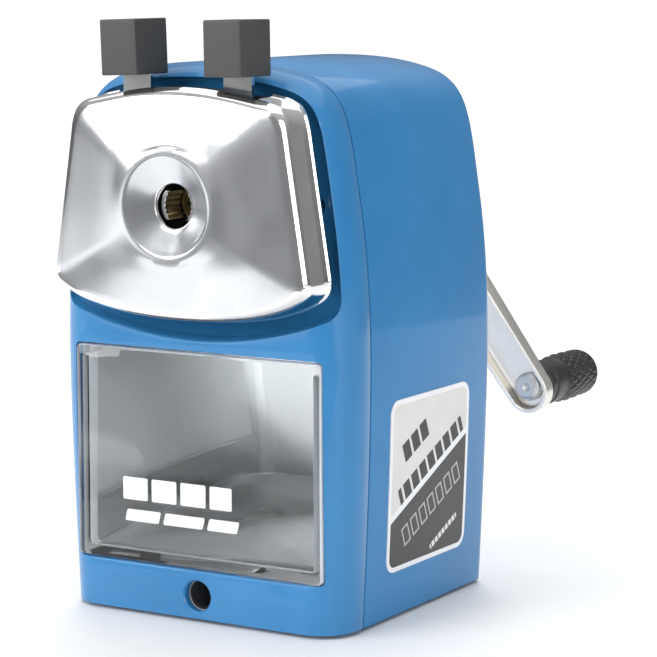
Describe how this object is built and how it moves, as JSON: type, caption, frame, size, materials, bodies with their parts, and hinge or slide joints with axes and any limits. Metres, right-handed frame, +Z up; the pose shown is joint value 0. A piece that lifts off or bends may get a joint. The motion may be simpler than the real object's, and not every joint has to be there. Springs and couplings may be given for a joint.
{
  "type": "hand crank pencil sharpener",
  "caption": "Desktop pencil sharpener with a side-crossing rear crank, a pull-out spring-fed face plate with jaw levers, and a clear shavings drawer.",
  "frame": {"origin": "on the table, at the centre of the bounding box of the whole object with its crank", "axes": "+Z up; the face plate, the drawer and the buttons face -Y, the crank is at the rear, +Y; +X is to the right for someone who looks at the front along +Y"},
  "size_m": [0.0728, 0.117, 0.1204],
  "materials": {
    "blue_paint": "gloss",
    "satin_steel": "satin",
    "chrome": "polished",
    "steel": "zinc plated",
    "spring_steel": "hardened, oiled",
    "brass": "turned",
    "die_cast": "as cast",
    "black_plastic": "fine grain",
    "button_plastic": "matt",
    "knob_plastic": "satin, knurled",
    "clear_plastic": "clear, moulded",
    "rubber": "matt",
    "label": "printed film"
  },
  "bodies": {
    "body": {"front_bezel": "blue_paint", "main_case": "blue_paint", "base_plate": "steel", "drawer_rail": "steel", "clamp_socket": "steel", "rubber_foot_front_left": "rubber", "rubber_foot_rear_left": "rubber", "rubber_foot_front_right": "rubber", "rubber_foot_rear_right": "rubber", "base_screw_front_left": "steel", "base_screw_rear_left": "steel", "base_screw_front_right": "steel", "base_screw_rear_right": "steel", "case_screw_left": "steel", "case_screw_right": "steel", "frame_screw_lower_left": "steel", "frame_screw_upper_left": "steel", "frame_screw_lower_right": "steel", "frame_screw_upper_right": "steel", "side_label": "label", "bearing_frame": "die_cast", "nose_bush": "brass", "guide_bush_left": "brass", "guide_bush_right": "brass", "feed_spring_left": "spring_steel", "feed_spring_right": "spring_steel", "ring_gear": "die_cast", "rear_collar": "black_plastic", "bayonet_cap": "black_plastic"},
    "drawer": {"shavings_drawer": "clear_plastic"},
    "face_carriage": {"face_plate": "satin_steel", "jaw_housing": "black_plastic", "guide_rod_left": "chrome", "guide_rod_right": "chrome", "rod_clip_left": "spring_steel", "rod_clip_right": "spring_steel", "plate_screw_left": "steel", "plate_screw_right": "steel", "pivot_pin_left": "steel", "pivot_pin_right": "steel", "jaw_spring": "spring_steel"},
    "left_lever_body": {"left_lever": "chrome", "left_button": "button_plastic"},
    "right_lever_body": {"right_lever": "chrome", "right_button": "button_plastic"},
    "crank": {"cutter_carrier": "die_cast", "crank_arm": "chrome", "crank_hub": "black_plastic", "crank_nut": "chrome", "knob_pin": "steel", "cutter_axle": "chrome"},
    "knob": {"crank_knob": "knob_plastic"},
    "cutter": {"helical_cutter": "spring_steel", "cutter_pinion": "steel"}
  },
  "joints": [
    {"name": "drawer_slide", "type": "slide", "parent": "body", "child": "drawer", "axis": [0, -1, 0], "range_m": [0, 0.05]},
    {"name": "face_slide", "type": "slide", "parent": "body", "child": "face_carriage", "axis": [0, -1, 0], "range_m": [0, 0.034], "stiffness_N_per_m": 60, "springref_m": -0.012, "deforming": ["feed_spring_left", "feed_spring_right"]},
    {"name": "left_lever_hinge", "type": "hinge", "parent": "face_carriage", "child": "left_lever_body", "pos_m": [-0.00885, -0.0508, 0.0676], "axis": [0, 1, 0], "range_deg": [0, 5], "stiffness_Nm_per_rad": 0.3, "springref_deg": -17.19, "deforming": ["jaw_spring"]},
    {"name": "right_lever_hinge", "type": "hinge", "parent": "face_carriage", "child": "right_lever_body", "pos_m": [0.00515, -0.0494, 0.0676], "axis": [0, 1, 0], "range_deg": [-5, 0], "stiffness_Nm_per_rad": 0.3, "springref_deg": 17.19},
    {"name": "crank_spin", "type": "hinge", "parent": "body", "child": "crank", "pos_m": [-0.00185, 0.0132, 0.0843], "axis": [0, 1, 0], "continuous": true},
    {"name": "knob_spin", "type": "hinge", "parent": "crank", "child": "knob", "pos_m": [0.03095, 0.0349, 0.03916], "axis": [0, 1, 0], "continuous": true},
    {"name": "cutter_spin", "type": "hinge", "parent": "crank", "child": "cutter", "pos_m": [-0.00185, 0.0216, 0.0843], "axis": [0, 0.9833, -0.1822], "continuous": true}
  ],
  "couplings": [
    {"joint": "right_lever_hinge", "follows": "left_lever_hinge", "ratio": -1},
    {"joint": "cutter_spin", "follows": "crank_spin", "ratio": -3}
  ]
}
